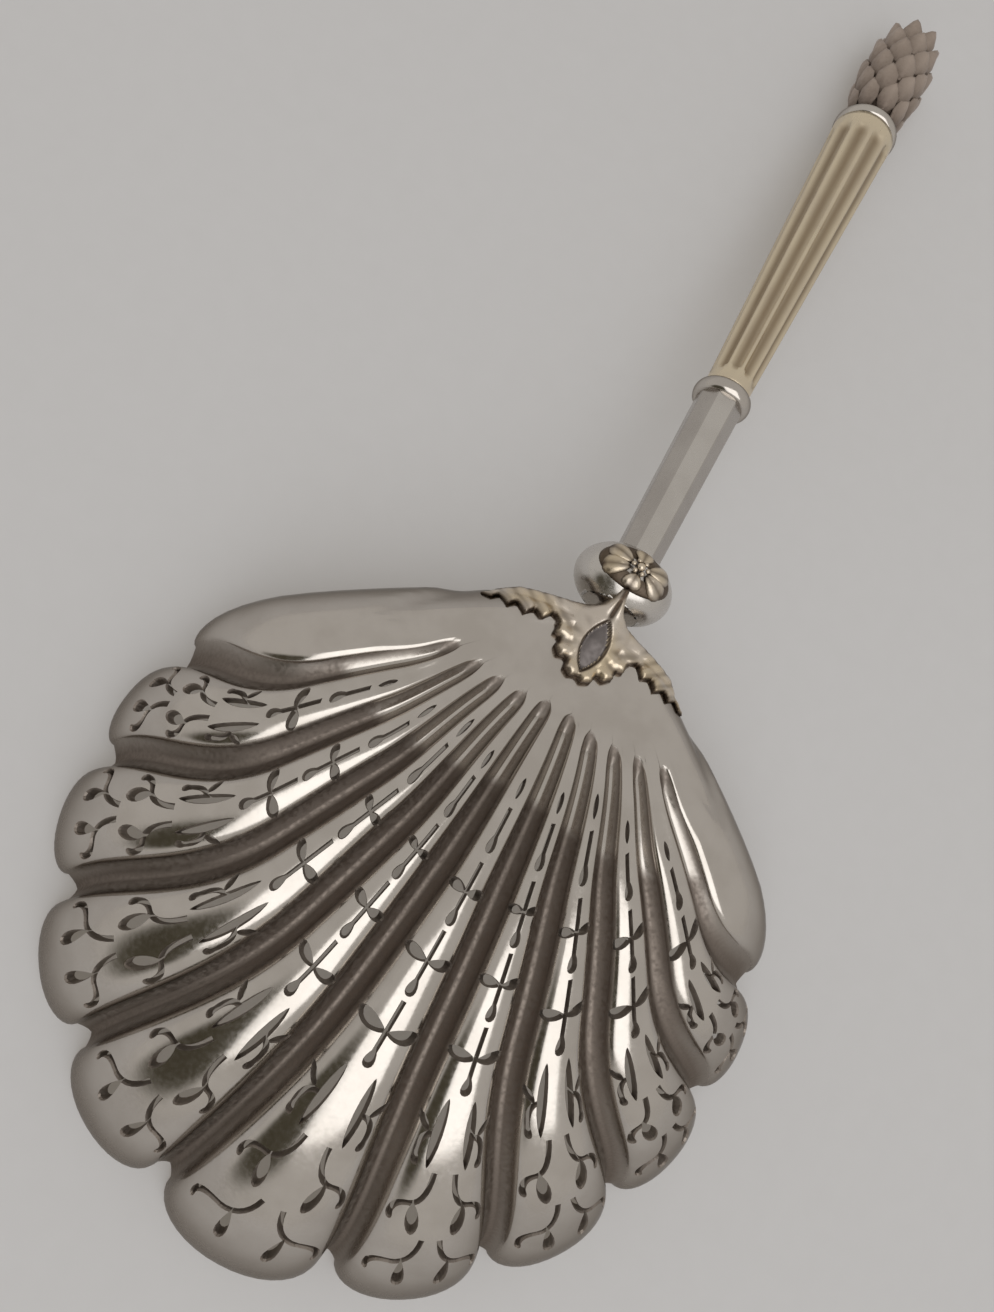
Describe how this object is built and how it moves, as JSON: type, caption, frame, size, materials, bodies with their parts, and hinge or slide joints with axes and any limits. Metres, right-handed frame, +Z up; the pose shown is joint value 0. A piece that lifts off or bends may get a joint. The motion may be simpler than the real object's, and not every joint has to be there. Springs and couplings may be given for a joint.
{
  "type": "sugar sifter spoon",
  "caption": "Sugar sifter spoon with a fluted, pierced scallop-shell bowl, a leaf mount and knop at its heel, and a fluted handle with a pine-cone finial.",
  "frame": {"origin": "on the table, under the middle of the bounding box of the spoon as it lies face down", "axes": "+X across the bowl, +Y from the tip of the bowl to the finial, +Z up from the table"},
  "size_m": [0.0668, 0.1482, 0.0201],
  "materials": {
    "silver": "polished silver",
    "gilt": "pale worn gilding",
    "handle_gilt": "satin gilding, darker in the flutes",
    "dull_gilt": "dull, tarnished gilding"
  },
  "bodies": {
    "root": {"shell_bowl": "silver", "leaf_mount": "gilt", "knop": "silver", "flower_medallion": "gilt", "stem": "silver", "stem_ring": "silver", "fluted_handle": "handle_gilt", "finial_collar": "silver", "finial": "dull_gilt"}
  },
  "joints": []
}
